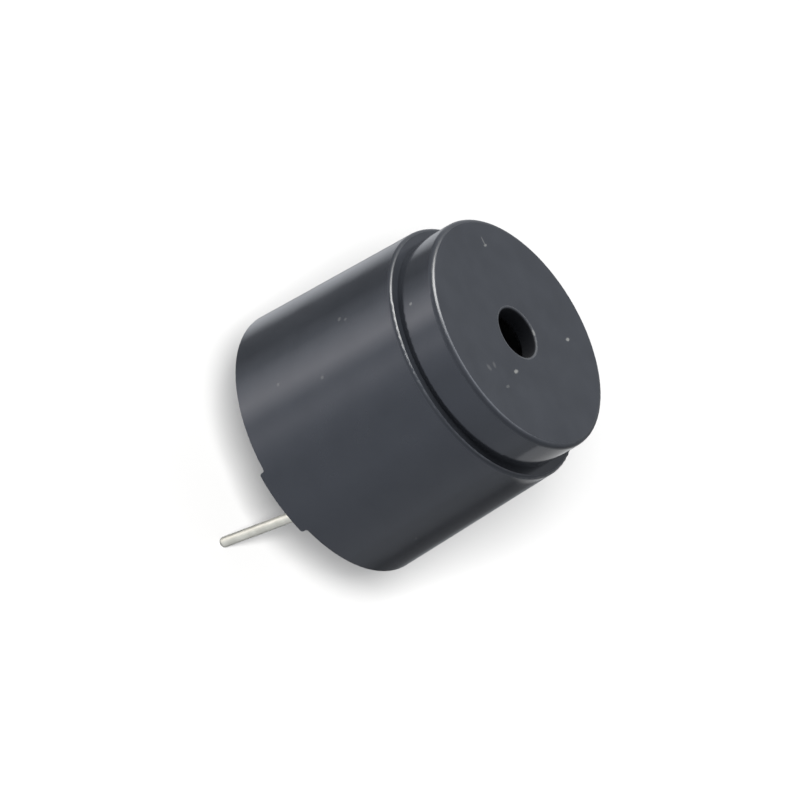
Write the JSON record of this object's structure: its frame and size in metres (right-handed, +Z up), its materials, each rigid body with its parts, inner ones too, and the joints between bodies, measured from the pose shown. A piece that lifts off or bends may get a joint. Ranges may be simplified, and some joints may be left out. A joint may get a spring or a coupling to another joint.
{
  "type": "magnetic buzzer",
  "caption": "Round black magnetic buzzer with a stepped front, a central sound hole and wire pins that solder it to a printed circuit board.",
  "frame": {"origin": "centre of the seating plane, level with the undersides of the standoff feet, midway between the two pins", "axes": "+Z up through the sound hole, the pins run down along -Z, +X from the short pin to the long pin"},
  "size_m": [0.0158, 0.0158, 0.0217],
  "materials": {
    "case_plastic": "satin",
    "sealing_resin": "gloss",
    "board_laminate": "matte",
    "track_copper": "satin",
    "tinned_wire": "satin",
    "solder": "satin",
    "ring_plastic": "matte",
    "diaphragm_steel": "brushed",
    "weight_steel": "satin",
    "ferrite": "matte",
    "plated_steel": "satin",
    "bobbin_plastic": "matte",
    "enamelled_copper": "gloss",
    "transistor_plastic": "matte",
    "resistor_ceramic": "satin"
  },
  "bodies": {
    "root": {"case": "case_plastic", "sealing_resin": "sealing_resin", "circuit_board": "board_laminate", "board_tracks": "track_copper", "positive_pin": "tinned_wire", "negative_pin": "tinned_wire", "pin_solder_joints": "solder", "support_ring": "ring_plastic", "diaphragm": "diaphragm_steel", "diaphragm_weight": "weight_steel", "ring_magnet": "ferrite", "yoke_plate": "plated_steel", "pole_core": "plated_steel", "coil_bobbin": "bobbin_plastic", "drive_winding": "enamelled_copper", "feedback_winding": "enamelled_copper", "coil_leads": "enamelled_copper", "coil_lead_solder": "solder", "transistor_body": "transistor_plastic", "transistor_leads": "tinned_wire", "resistor_body": "resistor_ceramic", "resistor_end_caps": "tinned_wire", "component_solder": "solder"}
  },
  "joints": []
}
